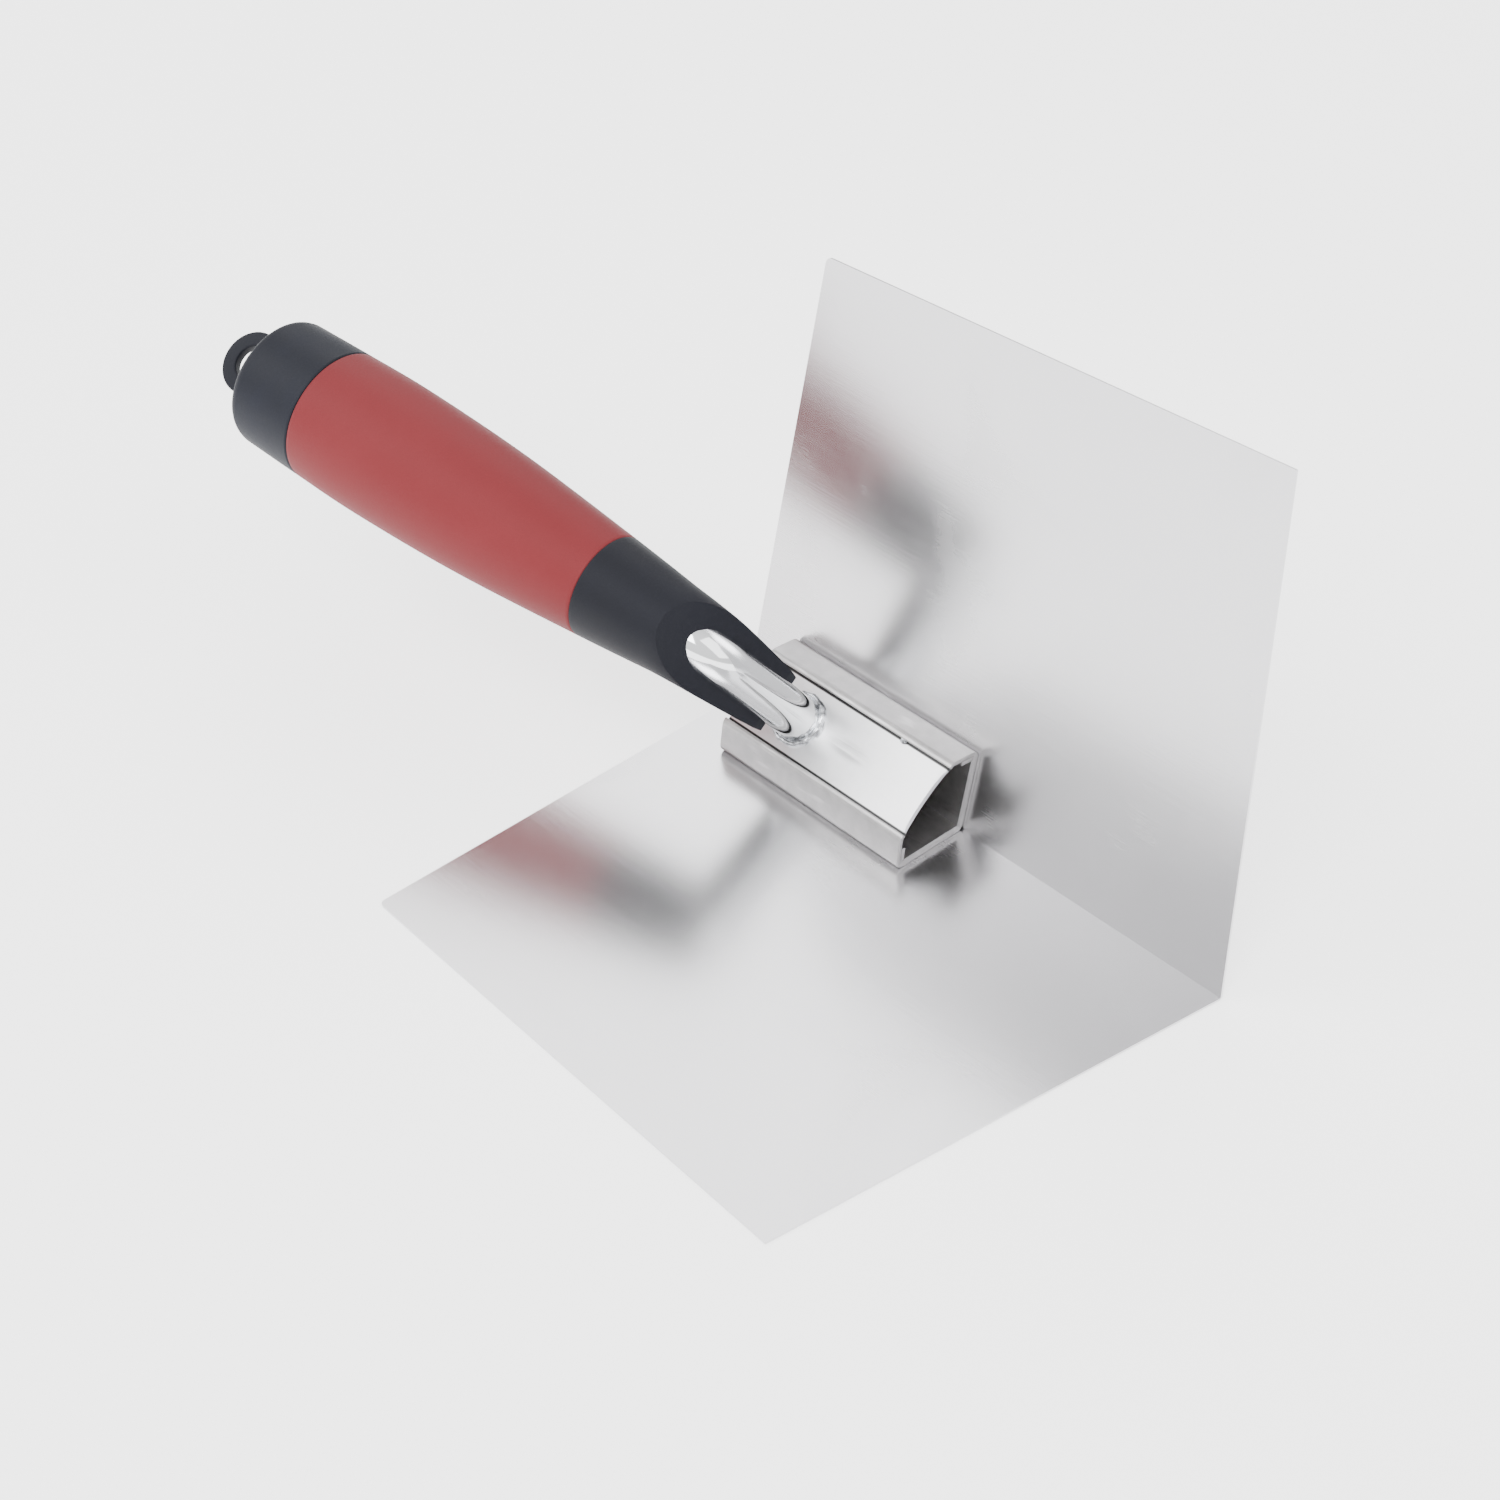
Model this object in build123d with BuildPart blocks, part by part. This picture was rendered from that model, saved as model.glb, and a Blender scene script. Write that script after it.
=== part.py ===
"""Inside corner trowel: folded blade, sheet-metal mount, bent tang and a two-colour soft handle.

Lengths are millimetres and angles degrees. The trowel lies on one leaf: +Z points up from that
leaf, +X runs along the fold from the blade's near end to the handle, and the origin is the
middle of the resting leaf's outer face.
"""
import os
from math import cos, radians, sin, tan

from build123d import *

# Blade: one folded sheet, described by the inner faces of its two leaves
blade_length = 127.0
fold_angle = 103.0
blade_gauge = 0.5
fold_radius = 1.4
near_reach = 99.6
far_reach = 95.25
near_setback = 13.4
far_setback = 1.1
corner_radius = 1.2

# Mount: channel in the fold, liner inside it, flat plate held under the channel's lips
mount_start = 65.2
mount_length = 50.4
sheet = 0.9
leg_reach = 18.1
seat_height = 16.3
seat_half_width = 8.8
lip_opening = 15.4
bend_radius = 1.6
plate_gauge = 1.2
plate_gap = 0.3
plate_setback = 1.0
plate_hollow = 0.7
tack_station = 78.0
tack_radius = 0.9

# Tang: round bar that stands on the plate, bends and runs up the handle
tang_radius = 4.7
tang_foot = 101.2
tang_lean = 81.0
tang_bend = 11.0
tang_bore = 3.2
tang_swing = 1.2
weld_width = 1.5
weld_height = 1.6

# Handle: stations are measured along its axis from the joint between nose and grip
grip_rise = 9.8
grip_station = 130.6
grip_height = 51.4
tang_end = 38.5
cap_start = 74.9
handle_end = 92.7
outline = [(-17, 9.2), (0, 10.9), (31, 13.5), (58, 14.5), (76, 14.3), (handle_end, 13.9)]
cap_round = 2.5
core_start = -12.0
core_end = 86.0
core_outline = [(core_start, 7.0), (0, 7.7), (38.5, 10.6), (core_end, 10.8)]

# Nose: follows the tang round its bend, girth given as distance along the tang from the plate
# and radius; the mouth is its cut in the plane of symmetry, from the top down to the ears' tips
nose_girth = [(4.1, 6.1), (15.5, 7.3), (24.4, 8.1), (31.3, 8.7)]
mouth = [(115.5, 66.0), (110.8, 57.5), (106.9, 49.5), (103.8, 34.0), (102.9, 24.0)]
mouth_turn = (103.3, 20.9)
mouth_tip = (104.9, 18.9)

# Hang loop: flat ring on a stem that is keyed into the core
loop_gauge = 2.3
loop_radius = 7.0
loop_hole = 3.75
loop_stretch = 1.3
loop_centre = 99.9
stem_end = 79.5

# How far a cutting shape reaches past what it cuts
overlap = 4.0

half_angle = fold_angle / 2
bisector = Vector(0, cos(radians(half_angle)), sin(radians(half_angle)))
sideways = Vector(0, sin(radians(half_angle)), -cos(radians(half_angle)))
fold_start = Vector(-blade_length / 2, -far_reach / 2, blade_gauge)

# across: section of the fold, local x towards the resting leaf, local y towards the handle
across = Plane(origin=fold_start, x_dir=sideways, z_dir=(1, 0, 0))
# middle: the mount's plane of symmetry, local x along the fold, local y towards the handle
middle = Plane(origin=fold_start, x_dir=(1, 0, 0), z_dir=-sideways)
# swung: the same plane, turned slightly about the tang's foot, which holds the tang and the handle
backwards = Vector(1, 0, 0) * cos(radians(tang_swing)) + sideways * sin(radians(tang_swing))
aside = sideways * cos(radians(tang_swing)) - Vector(1, 0, 0) * sin(radians(tang_swing))
swung = Plane(
    origin=middle.from_local_coords(Vector(tang_foot, 0, 0)) - backwards * tang_foot,
    x_dir=backwards,
    z_dir=-aside,
)
# grip: that plane tilted to the handle's axis, which is its local x
grip_direction = backwards * cos(radians(grip_rise)) + bisector * sin(radians(grip_rise))
grip = Plane(
    origin=swung.from_local_coords(Vector(grip_station, grip_height, 0)),
    x_dir=grip_direction,
    z_dir=-aside,
)
grip_axis = Axis(grip.origin, grip_direction)


def leaf_plane(turn):
    """Plane of a leaf's inner face, local x along the fold, local y towards the free edge."""
    rise = radians(turn)
    return Plane(origin=fold_start, x_dir=(1, 0, 0), z_dir=(0, -sin(rise), cos(rise)))


def along_grip(station):
    """Plane across the handle at a station, facing its rear end."""
    return Plane(
        origin=grip.from_local_coords(Vector(station, 0, 0)),
        x_dir=aside,
        z_dir=grip_direction,
    )


# ---------------------------------------------------------------- blade
leaf_x = sin(radians(half_angle))
leaf_y = cos(radians(half_angle))
with BuildPart() as blade:
    with BuildSketch(across):
        with BuildLine():
            FilletPolyline(
                (-near_reach * leaf_x, near_reach * leaf_y),
                (0, 0),
                (near_reach * leaf_x, near_reach * leaf_y),
                radius=fold_radius,
            )
            offset(amount=blade_gauge, side=Side.RIGHT)
        make_face()
    extrude(amount=blade_length)
    for turn in (0, fold_angle):
        with BuildSketch(leaf_plane(turn)):
            with Locations((blade_length / 2, near_reach / 2)):
                Rectangle(blade_length + overlap, near_reach + overlap)
            Polygon(
                (0, -overlap),
                (0, 0),
                (near_setback, near_reach),
                (blade_length - far_setback, far_reach),
                (blade_length, 0),
                (blade_length, -overlap),
                align=None,
                mode=Mode.SUBTRACT,
            )
        extrude(amount=2 * blade_gauge, both=True, mode=Mode.SUBTRACT)
        leaf_corners = blade.edges().filter_by(Axis(fold_start, leaf_plane(turn).z_dir))
        fillet(leaf_corners.filter_by(lambda edge: edge.length < 1.1 * blade_gauge), corner_radius)
blade.part.label = "blade"

# ---------------------------------------------------------------- mount
flange_foot = (leg_reach * leaf_x, leg_reach * leaf_y)
mount_outline = [
    (0, 0),
    flange_foot,
    (seat_half_width, seat_height),
    (-seat_half_width, seat_height),
    (-flange_foot[0], flange_foot[1]),
]
plate_top = seat_height - sheet - plate_gap
plate_bottom = plate_top - plate_gauge
mount_plane = across.offset(mount_start)


def mount_face(inset):
    """Outline of the mount's section, moved inwards by a number of sheet thicknesses."""
    with BuildSketch() as section:
        with BuildLine():
            Polyline(*mount_outline, close=True)
        make_face()
        fillet(section.vertices(), bend_radius)
        if inset:
            offset(amount=-inset, mode=Mode.REPLACE)
    return section.sketch


with BuildPart() as mounting_channel:
    with BuildSketch(mount_plane):
        add(mount_face(0))
        add(mount_face(sheet), mode=Mode.SUBTRACT)
        with Locations((0, seat_height)):
            Rectangle(lip_opening, 2 * bend_radius, mode=Mode.SUBTRACT)
    extrude(amount=mount_length)
mounting_channel.part.label = "mounting_channel"

with BuildPart() as channel_liner:
    with BuildSketch(mount_plane):
        add(mount_face(sheet))
        add(mount_face(2 * sheet), mode=Mode.SUBTRACT)
        with Locations((0, plate_bottom)):
            Rectangle(4 * seat_half_width, seat_height, align=(Align.CENTER, Align.MIN), mode=Mode.SUBTRACT)
    extrude(amount=mount_length)
channel_liner.part.label = "channel_liner"

with BuildPart() as mounting_plate:
    with BuildSketch(across.offset(mount_start + plate_setback)):
        add(mount_face(sheet + plate_gap))
        with Locations((0, (plate_top + plate_bottom) / 2)):
            Rectangle(4 * seat_half_width, plate_gauge, mode=Mode.INTERSECT)
    extrude(amount=mount_length - plate_setback)
    hollow_centre = Vector(mount_start + plate_setback, plate_bottom - overlap / 2, 0)
    with BuildSketch(Plane(middle.from_local_coords(hollow_centre), (1, 0, 0), bisector)):
        Ellipse(plate_hollow, 0.8 * seat_half_width)
    extrude(amount=plate_gauge + overlap, mode=Mode.SUBTRACT)
mounting_plate.part.label = "mounting_plate"

# ---------------------------------------------------------------- tang
run = (grip_height - plate_top - tan(radians(grip_rise)) * (grip_station - tang_foot)) / (
    tan(radians(tang_lean)) - tan(radians(grip_rise))
)
tang_points = [
    (tang_foot - 1, plate_top - tan(radians(tang_lean))),
    (tang_foot + run, plate_top + run * tan(radians(tang_lean))),
    (grip_station + tang_end * cos(radians(grip_rise)), grip_height + tang_end * sin(radians(grip_rise))),
]
plate_face = Plane(middle.from_local_coords(Vector(tang_foot, plate_top, 0)), (1, 0, 0), bisector)
path_lead = 1 / cos(radians(tang_lean))

with BuildPart() as tang_bar:
    with BuildLine(swung) as tang_path:
        FilletPolyline(*tang_points, radius=tang_bend)
    with BuildSketch(Plane(origin=tang_path.line @ 0, z_dir=tang_path.line % 0)):
        Circle(tang_radius)
    sweep()
    split(bisect_by=plate_face, keep=Keep.TOP)

with BuildPart() as tang:
    add(tang_bar.part)
    with BuildSketch(along_grip(tang_end)):
        Circle(tang_bore)
    extrude(amount=-(tang_end - core_start), mode=Mode.SUBTRACT)
tang.part.label = "tang"

with BuildPart() as tang_weld:
    foot_length = tang_radius / sin(radians(tang_lean))
    with BuildSketch(plate_face):
        Ellipse(foot_length + weld_width, tang_radius + weld_width)
    extrude(amount=weld_height, taper=30)
    add(tang_bar.part, mode=Mode.SUBTRACT)
tang_weld.part.label = "tang_weld"

with BuildPart() as plate_tack:
    tack_point = middle.from_local_coords(Vector(tack_station, plate_top, 0)) - sideways * lip_opening / 2
    with Locations(tack_point):
        Sphere(tack_radius)
    add(mounting_channel.part, mode=Mode.SUBTRACT)
    add(mounting_plate.part, mode=Mode.SUBTRACT)
    split(bisect_by=plate_face, keep=Keep.TOP)
plate_tack.part.label = "plate_tack"

# ---------------------------------------------------------------- handle
with BuildPart() as handle_body:
    with BuildSketch(grip):
        with BuildLine():
            profile = Spline(*outline)
            Polyline(profile @ 1, (handle_end, 0), (outline[0][0], 0), profile @ 0)
        make_face()
    revolve(axis=grip_axis)
    rear_rim = handle_body.edges().filter_by(GeomType.CIRCLE).sort_by(Axis.X)[-1]
    fillet(rear_rim, cap_round)

with BuildPart() as core_body:
    with BuildSketch(grip):
        with BuildLine():
            Polyline((core_start, 0), *core_outline, (core_end, 0), close=True)
        make_face()
    revolve(axis=grip_axis)

loop_plane = Plane(origin=grip.origin, x_dir=grip_direction, z_dir=grip.y_dir)
with BuildPart() as hang_loop:
    with BuildSketch(loop_plane):
        with Locations((loop_centre, 0)):
            Circle(loop_radius)
        with Locations(((stem_end + loop_centre) / 2, 0)):
            Rectangle(loop_centre - stem_end, 2 * loop_radius)
        with Locations((loop_centre - loop_stretch, 0)):
            SlotOverall(2 * (loop_hole + loop_stretch), 2 * loop_hole, mode=Mode.SUBTRACT)
    extrude(amount=loop_gauge / 2, both=True)
hang_loop.part.label = "hang_loop"

with BuildPart() as handle_core:
    add(core_body.part)
    add(tang_bar.part, mode=Mode.SUBTRACT)
    with BuildSketch(loop_plane):
        with Locations(((stem_end + core_end) / 2, 0)):
            Rectangle(core_end - stem_end, 2 * loop_radius)
    extrude(amount=loop_gauge / 2, both=True, mode=Mode.SUBTRACT)
handle_core.part.label = "handle_core"

with BuildPart() as nose_bend:
    for distance, radius in nose_girth:
        station = tang_path.wire().position_at(path_lead + distance, PositionMode.LENGTH)
        direction = tang_path.wire().tangent_at(path_lead + distance, PositionMode.LENGTH)
        with BuildSketch(Plane(origin=station, z_dir=direction)):
            Circle(radius)
    with BuildSketch(along_grip(outline[0][0])):
        Circle(outline[0][1])
    loft()

with BuildPart() as nose_sleeve:
    add(handle_body.part)
    split(bisect_by=along_grip(0), keep=Keep.BOTTOM)
    add(nose_bend.part)
    with BuildSketch(swung):
        with BuildLine():
            Spline(*mouth)
            ThreePointArc(mouth[-1], mouth_turn, mouth_tip)
            mouth_front = mouth_tip[0] - 2 * outline[-1][1]
            Polyline(mouth_tip, (mouth_front, mouth_tip[1]), (mouth_front, mouth[0][1]), mouth[0])
        make_face()
    extrude(amount=2 * outline[-1][1], both=True, mode=Mode.SUBTRACT)
    add(core_body.part, mode=Mode.SUBTRACT)
    add(tang_bar.part, mode=Mode.SUBTRACT)
nose_sleeve.part.label = "nose_sleeve"

with BuildPart() as grip_sleeve:
    add(handle_body.part)
    split(bisect_by=along_grip(0), keep=Keep.TOP)
    split(bisect_by=along_grip(cap_start), keep=Keep.BOTTOM)
    add(core_body.part, mode=Mode.SUBTRACT)
grip_sleeve.part.label = "grip_sleeve"

with BuildPart() as end_cap:
    add(handle_body.part)
    split(bisect_by=along_grip(cap_start), keep=Keep.TOP)
    add(core_body.part, mode=Mode.SUBTRACT)
    with BuildSketch(loop_plane):
        with Locations(((core_end + handle_end) / 2, 0)):
            Rectangle(handle_end - core_end + 1, 2 * loop_radius)
    extrude(amount=loop_gauge / 2, both=True, mode=Mode.SUBTRACT)
end_cap.part.label = "end_cap"

pieces = [
    blade,
    mounting_channel,
    channel_liner,
    mounting_plate,
    plate_tack,
    tang,
    tang_weld,
    nose_sleeve,
    handle_core,
    grip_sleeve,
    end_cap,
    hang_loop,
]
os.makedirs("parts", exist_ok=True)
for piece in pieces:
    export_step(piece.part, f"parts/{piece.part.label}.step")
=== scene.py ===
"""Inside corner trowel: folded steel blade, sheet mount, bent chromed tang and soft two-colour handle."""

from math import cos, pi, radians, sin, tan

import bmesh
import bpy
from mathutils import Matrix, Vector, noise


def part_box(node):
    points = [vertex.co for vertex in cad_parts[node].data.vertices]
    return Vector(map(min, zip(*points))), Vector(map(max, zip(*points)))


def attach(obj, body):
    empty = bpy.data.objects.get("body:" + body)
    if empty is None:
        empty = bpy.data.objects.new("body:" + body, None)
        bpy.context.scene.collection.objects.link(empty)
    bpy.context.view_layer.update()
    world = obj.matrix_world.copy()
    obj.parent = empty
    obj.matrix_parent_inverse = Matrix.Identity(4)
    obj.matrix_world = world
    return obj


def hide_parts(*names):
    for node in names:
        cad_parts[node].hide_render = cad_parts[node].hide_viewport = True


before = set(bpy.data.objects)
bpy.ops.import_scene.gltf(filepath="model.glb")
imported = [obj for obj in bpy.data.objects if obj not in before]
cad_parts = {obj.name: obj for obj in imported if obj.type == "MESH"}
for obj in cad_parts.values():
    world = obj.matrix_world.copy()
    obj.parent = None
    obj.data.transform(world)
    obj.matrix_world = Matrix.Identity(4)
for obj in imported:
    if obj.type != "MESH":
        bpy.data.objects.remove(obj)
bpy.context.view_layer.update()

bl_info = {
    "name": "Inside Corner Trowel",
    "version": (1, 0, 0),
    "blender": (4, 5, 0),
    "location": "View3D > Sidebar > Trowel",
    "description": "Builds the visible pieces of an inside corner trowel round its CAD frame",
    "category": "Add Mesh",
}

MM = 0.001
BODY = "root"


# ---------------------------------------------------------------- places, from the frame
BLADE_LOW, BLADE_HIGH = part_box("blade")


def mm(value):
    return value * MM


# ---------------------------------------------------------------- settings


def length(name, description, default):
    """A length property whose default is given in millimetres."""
    return bpy.props.FloatProperty(
        name=name, description=description, default=default * MM, unit="LENGTH", precision=5
    )


def degrees(name, description, default):
    return bpy.props.FloatProperty(
        name=name, description=description, default=radians(default), unit="ROTATION"
    )


def colour(name, description, default):
    return bpy.props.FloatVectorProperty(
        name=name, description=description, default=default, subtype="COLOR", size=3, min=0, max=1
    )


class TrowelBladeSettings(bpy.types.PropertyGroup):
    fold_angle: degrees("Fold angle", "Angle between the two leaves", 103)
    gauge: length("Gauge", "Thickness of the blade", 0.5)
    fold_radius: length("Fold radius", "Inner radius of the fold", 1.4)
    near_reach: length("Near reach", "From fold to free edge at the near corners", 99.6)
    far_reach: length("Far reach", "From fold to free edge at the far corners", 95.25)
    near_setback: length("Near setback", "How far the near corners sit back from the fold's end", 13.4)
    far_setback: length("Far setback", "How far the far corners sit back from the fold's end", 1.1)
    corner_radius: length("Corner radius", "Rounding of the free corners", 1.2)
    steel: colour("Steel", "Colour of the blade", (0.66, 0.655, 0.67))


class TrowelMountSettings(bpy.types.PropertyGroup):
    start: length("Start", "From the blade's near end to the mount", 65.2)
    size: length("Length", "Length of the mount along the fold", 50.4)
    sheet: length("Sheet", "Thickness of the channel and of its liner", 0.9)
    leg_reach: length("Leg reach", "Width of each leg that lies on the blade", 18.1)
    seat_height: length("Seat height", "From the fold to the top of the lips", 16.3)
    seat_half_width: length("Seat half width", "From the middle to the bend of a lip", 8.8)
    lip_opening: length("Lip opening", "Gap between the two lips", 15.4)
    bend_radius: length("Bend radius", "Outer radius of the mount's bends", 1.6)
    plate_gauge: length("Plate gauge", "Thickness of the plate", 1.2)
    plate_gap: length("Plate gap", "Clearance between plate and lips", 0.3)
    plate_setback: length("Plate setback", "From the channel's near end to the plate", 1.0)
    plate_hollow: length("Plate hollow", "Depth of the plate's hollow near edge", 0.7)
    sheet_colour: colour("Sheet", "Colour of the plated sheet", (0.47, 0.46, 0.462))
    chrome: colour("Chrome", "Colour of the tang", (0.80, 0.81, 0.825))
    plate_colour: colour("Plate", "Colour of the plate", (0.90, 0.90, 0.915))


class TrowelTangSettings(bpy.types.PropertyGroup):
    radius: length("Radius", "Radius of the tang", 4.7)
    foot: length("Foot", "From the blade's near end to the tang's foot", 101.2)
    lean: degrees("Lean", "Angle between the tang's leg and the plate", 81)
    bend: length("Bend", "Radius of the tang's bend", 11)
    swing: degrees("Swing", "How far the tang and the handle turn sideways about the foot", 1.2)
    weld_width: length("Weld width", "Width of the bead round the foot", 1.5)
    weld_height: length("Weld height", "Height of the bead on the plate", 1.6)
    weld: colour("Weld", "Colour of the weld metal", (0.42, 0.43, 0.45))


class TrowelHandleSettings(bpy.types.PropertyGroup):
    rise: degrees("Rise", "Angle between the handle and the fold", 9.8)
    station: length("Station", "From the blade's near end to the joint of nose and grip", 130.6)
    height: length("Height", "From the fold to the handle's axis at that joint", 51.4)
    cap_start: length("Cap start", "From the joint to the end cap", 74.9)
    end: length("End", "From the joint to the handle's end", 92.7)
    grip_colour: colour("Grip", "Colour of the soft grip", (0.150, 0.018, 0.021))
    nose_colour: colour("Nose", "Colour of the nose", (0.004, 0.0045, 0.008))
    cap_colour: colour("Cap", "Colour of the end cap", (0.006, 0.007, 0.012))
    loop_gauge: length("Loop gauge", "Thickness of the hang loop", 2.3)
    loop_radius: length("Loop radius", "Outer radius of the hang loop", 7.0)
    loop_hole: length("Loop hole", "Half the width of the loop's hole", 3.75)
    loop_centre: length("Loop centre", "From the joint to the centre of the loop's end", 99.9)
    loop_root: length("Loop root", "From the joint to the stem's hidden end", 88.0)


class TrowelStageSettings(bpy.types.PropertyGroup):
    camera_place: bpy.props.FloatVectorProperty(
        name="Camera place", description="Where the camera stands", default=(-0.2920, 0.2685, 0.3640),
        subtype="TRANSLATION",
    )
    camera_turn: bpy.props.FloatVectorProperty(
        name="Camera turn", description="Tilt, roll and heading of the camera",
        default=(radians(51.41), radians(0.89), radians(-132.39)), subtype="EULER",
    )
    lens: bpy.props.FloatProperty(name="Lens", description="Focal length in millimetres", default=69.6)
    floor: colour("Floor", "Colour of the floor", (0.93, 0.93, 0.93))


SETTINGS = {
    "trowel_blade": TrowelBladeSettings,
    "trowel_mount": TrowelMountSettings,
    "trowel_tang": TrowelTangSettings,
    "trowel_handle": TrowelHandleSettings,
    "trowel_stage": TrowelStageSettings,
}


# ---------------------------------------------------------------- the trowel's own axes


class Axes:
    """Directions and planes of the trowel, worked out from the frame and the settings.

    Local x runs along the fold from the near end, y towards the resting leaf, z towards the handle.
    """

    def __init__(self, scene):
        blade = scene.trowel_blade
        half = blade.fold_angle / 2
        self.half = half
        self.along = Vector((1, 0, 0))
        self.sideways = Vector((0, sin(half), -cos(half)))
        self.upwards = Vector((0, cos(half), sin(half)))
        self.fold = Vector((BLADE_LOW.x, BLADE_HIGH.y - blade.near_reach, BLADE_LOW.z + blade.gauge))
        self.trowel = self.matrix(self.fold, self.along, self.sideways, self.upwards)
        tang, handle = scene.trowel_tang, scene.trowel_handle
        foot = Vector((tang.foot, 0, 0))
        turned = Matrix.Translation(foot) @ Matrix.Rotation(tang.swing, 4, "Z") @ Matrix.Translation(-foot)
        self.swung = self.trowel @ turned
        joint = Matrix.Translation((handle.station, 0, handle.height))
        self.grip = self.swung @ joint @ Matrix.Rotation(-handle.rise, 4, "Y")

    @staticmethod
    def matrix(origin, x, y, z):
        """A frame of that origin whose axes are x, y and z."""
        turned = Matrix((x, y, z)).transposed().to_4x4()
        turned.translation = origin
        return turned


# ---------------------------------------------------------------- shader maths


class Value:
    """A socket of a material that Python arithmetic acts on by adding Math nodes."""

    def __init__(self, finish, socket):
        self.finish = finish
        self.socket = socket

    def math(self, operation, *operands):
        return self.finish.node(
            "ShaderNodeMath", {"operation": operation}, dict(enumerate((self, *operands)))
        )

    def __add__(self, other):
        return self.math("ADD", other)

    def __sub__(self, other):
        return self.math("SUBTRACT", other)

    def __mul__(self, other):
        return self.math("MULTIPLY", other)

    def __rsub__(self, other):
        return self.finish.value_math("SUBTRACT", other, self)

    def __abs__(self):
        return self.math("ABSOLUTE")

    __radd__ = __add__
    __rmul__ = __mul__

    def clamped(self):
        held = self.math("ADD", 0.0)
        held.socket.node.use_clamp = True
        return held

    def fade(self, start, end):
        """0 at start and 1 at end, smooth in between."""
        return self.finish.node(
            "ShaderNodeMapRange",
            {"interpolation_type": "SMOOTHSTEP"},
            {"Value": self, "From Min": start, "From Max": end},
        )


SOCKETS = {
    "base_color": "Base Color",
    "metallic": "Metallic",
    "roughness": "Roughness",
    "normal": "Normal",
    "specular": "Specular IOR Level",
    "glow": "Emission Color",
    "glow_strength": "Emission Strength",
}


class Finish:
    """A material with one Principled shader, built up from nodes."""

    def __init__(self, name, **shader):
        self.material = bpy.data.materials.new(name)
        self.material.use_nodes = True
        self.tree = self.material.node_tree
        self.tree.nodes.clear()
        self.shader = self.tree.nodes.new("ShaderNodeBsdfPrincipled")
        output = self.tree.nodes.new("ShaderNodeOutputMaterial")
        self.tree.links.new(self.shader.outputs["BSDF"], output.inputs["Surface"])
        for socket, value in shader.items():
            self.shader.inputs[SOCKETS[socket]].default_value = value
        self.place = self.node("ShaderNodeTexCoord", {}, {}, "Object")

    def feed(self, socket, value):
        if isinstance(value, Value):
            self.tree.links.new(value.socket, socket)
        elif socket.type == "RGBA":
            socket.default_value = (*value[:3], 1)
        else:
            socket.default_value = value

    def node(self, kind, settings, inputs, output=0):
        """One node: its settings are set first, then its sockets, by name or number."""
        made = self.tree.nodes.new(kind)
        for setting, value in settings.items():
            setattr(made, setting, value)
        for socket, value in inputs.items():
            self.feed(made.inputs[socket], value)
        return Value(self, made.outputs[output])

    def value_math(self, operation, first, second):
        return self.node("ShaderNodeMath", {"operation": operation}, {0: first, 1: second})

    def stretched(self, scale):
        """The place on the piece, scaled along each axis."""
        return self.node(
            "ShaderNodeMapping",
            {"vector_type": "TEXTURE"},
            {"Vector": self.place, "Scale": tuple(1 / part for part in scale)},
        )

    def noise(self, vector, scale=1.0, detail=3.0, roughness=0.5, distortion=0.0):
        return self.node(
            "ShaderNodeTexNoise",
            {},
            {"Vector": vector, "Scale": scale, "Detail": detail, "Roughness": roughness,
             "Distortion": distortion},
        )

    def mix(self, factor, first, second):
        """A colour between two colours."""
        mixed = self.tree.nodes.new("ShaderNodeMix")
        mixed.data_type = "RGBA"
        colours = [socket for socket in mixed.inputs if socket.type == "RGBA"]
        self.feed(mixed.inputs["Factor"], factor)
        self.feed(colours[0], first)
        self.feed(colours[1], second)
        result = [socket for socket in mixed.outputs if socket.type == "RGBA"][0]
        return Value(self, result)

    def bump(self, height, distance, strength):
        return self.node(
            "ShaderNodeBump", {}, {"Height": height, "Distance": distance, "Strength": strength}
        )

    def set(self, **sockets):
        for socket, value in sockets.items():
            self.feed(self.shader.inputs[SOCKETS[socket]], value)
        return self.material


# ---------------------------------------------------------------- finishes


def darker(shade, factor):
    return tuple(part * factor for part in shade)


def blade_steel(settings):
    """Rolled stainless sheet: near mirror, with a faint grain along the fold and handling smudges."""
    finish = Finish("blade_steel", metallic=1.0)
    grain = finish.noise(finish.stretched((60, 2600, 2600)), 1.0, 4.0, 0.6)
    smudge = finish.noise(finish.place, 22.0, 4.0, 0.55, 0.6)
    cloud = finish.noise(finish.place, 7.0, 2.0, 0.5)
    shade = finish.mix(
        (cloud.fade(0.35, 0.68) * 0.7 + grain * 0.3).clamped(), darker(settings.steel, 0.95), settings.steel
    )
    roughness = 0.22 + grain * 0.05 + smudge.fade(0.5, 0.75) * 0.05
    return finish.set(
        base_color=shade, roughness=roughness, normal=finish.bump(grain, 0.000012, 0.5)
    )


def plated_sheet(settings):
    """Satin plated sheet: drawn lines along its length, soft mottling and a few scuffs."""
    finish = Finish("mount_sheet", metallic=1.0)
    lines = finish.noise(finish.stretched((35, 1900, 1900)), 1.0, 5.0, 0.65)
    mottle = finish.noise(finish.place, 260.0, 3.0, 0.6)
    scuff = finish.noise(finish.stretched((90, 420, 420)), 1.0, 2.0, 0.5).fade(0.62, 0.74)
    shade = finish.mix(mottle.fade(0.3, 0.7), darker(settings.sheet_colour, 0.86), settings.sheet_colour)
    shade = finish.mix(scuff * 0.5, shade, darker(settings.sheet_colour, 1.25))
    roughness = 0.3 + lines * 0.12 + mottle * 0.06 - scuff * 0.08
    return finish.set(base_color=shade, roughness=roughness, normal=finish.bump(lines, 0.00002, 0.8))


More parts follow.
